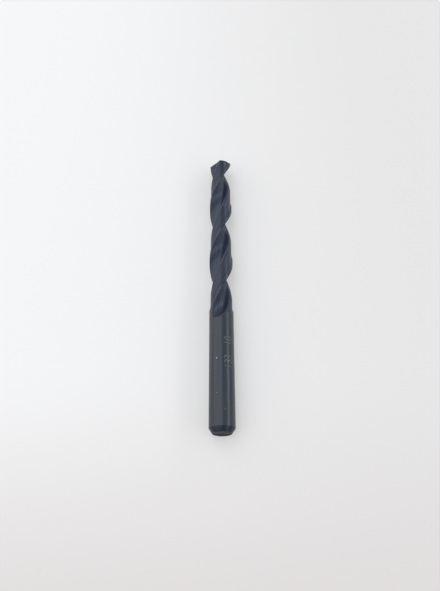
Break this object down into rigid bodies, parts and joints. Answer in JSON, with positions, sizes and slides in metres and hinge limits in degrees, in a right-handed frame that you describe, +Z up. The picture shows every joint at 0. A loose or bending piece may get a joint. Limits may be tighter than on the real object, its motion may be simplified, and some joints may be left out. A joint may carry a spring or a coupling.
{
  "type": "twist drill bit",
  "caption": "Straight-shank twist drill bit with helical flutes, narrow margins, a relief-ground point and a chamfered shank end.",
  "frame": {"origin": "centre of the shank's end face, on the drill's axis", "axes": "+Y along the axis from the shank's end to the point, +Z up, +X to the right seen from the shank's end"},
  "size_m": [0.01, 0.133, 0.01],
  "materials": {
    "oxide_steel": "steam-oxidised high-speed steel, dark blue-grey, ground and semi-glossy"
  },
  "bodies": {
    "root": {"drill_bit": "oxide_steel"}
  },
  "joints": []
}
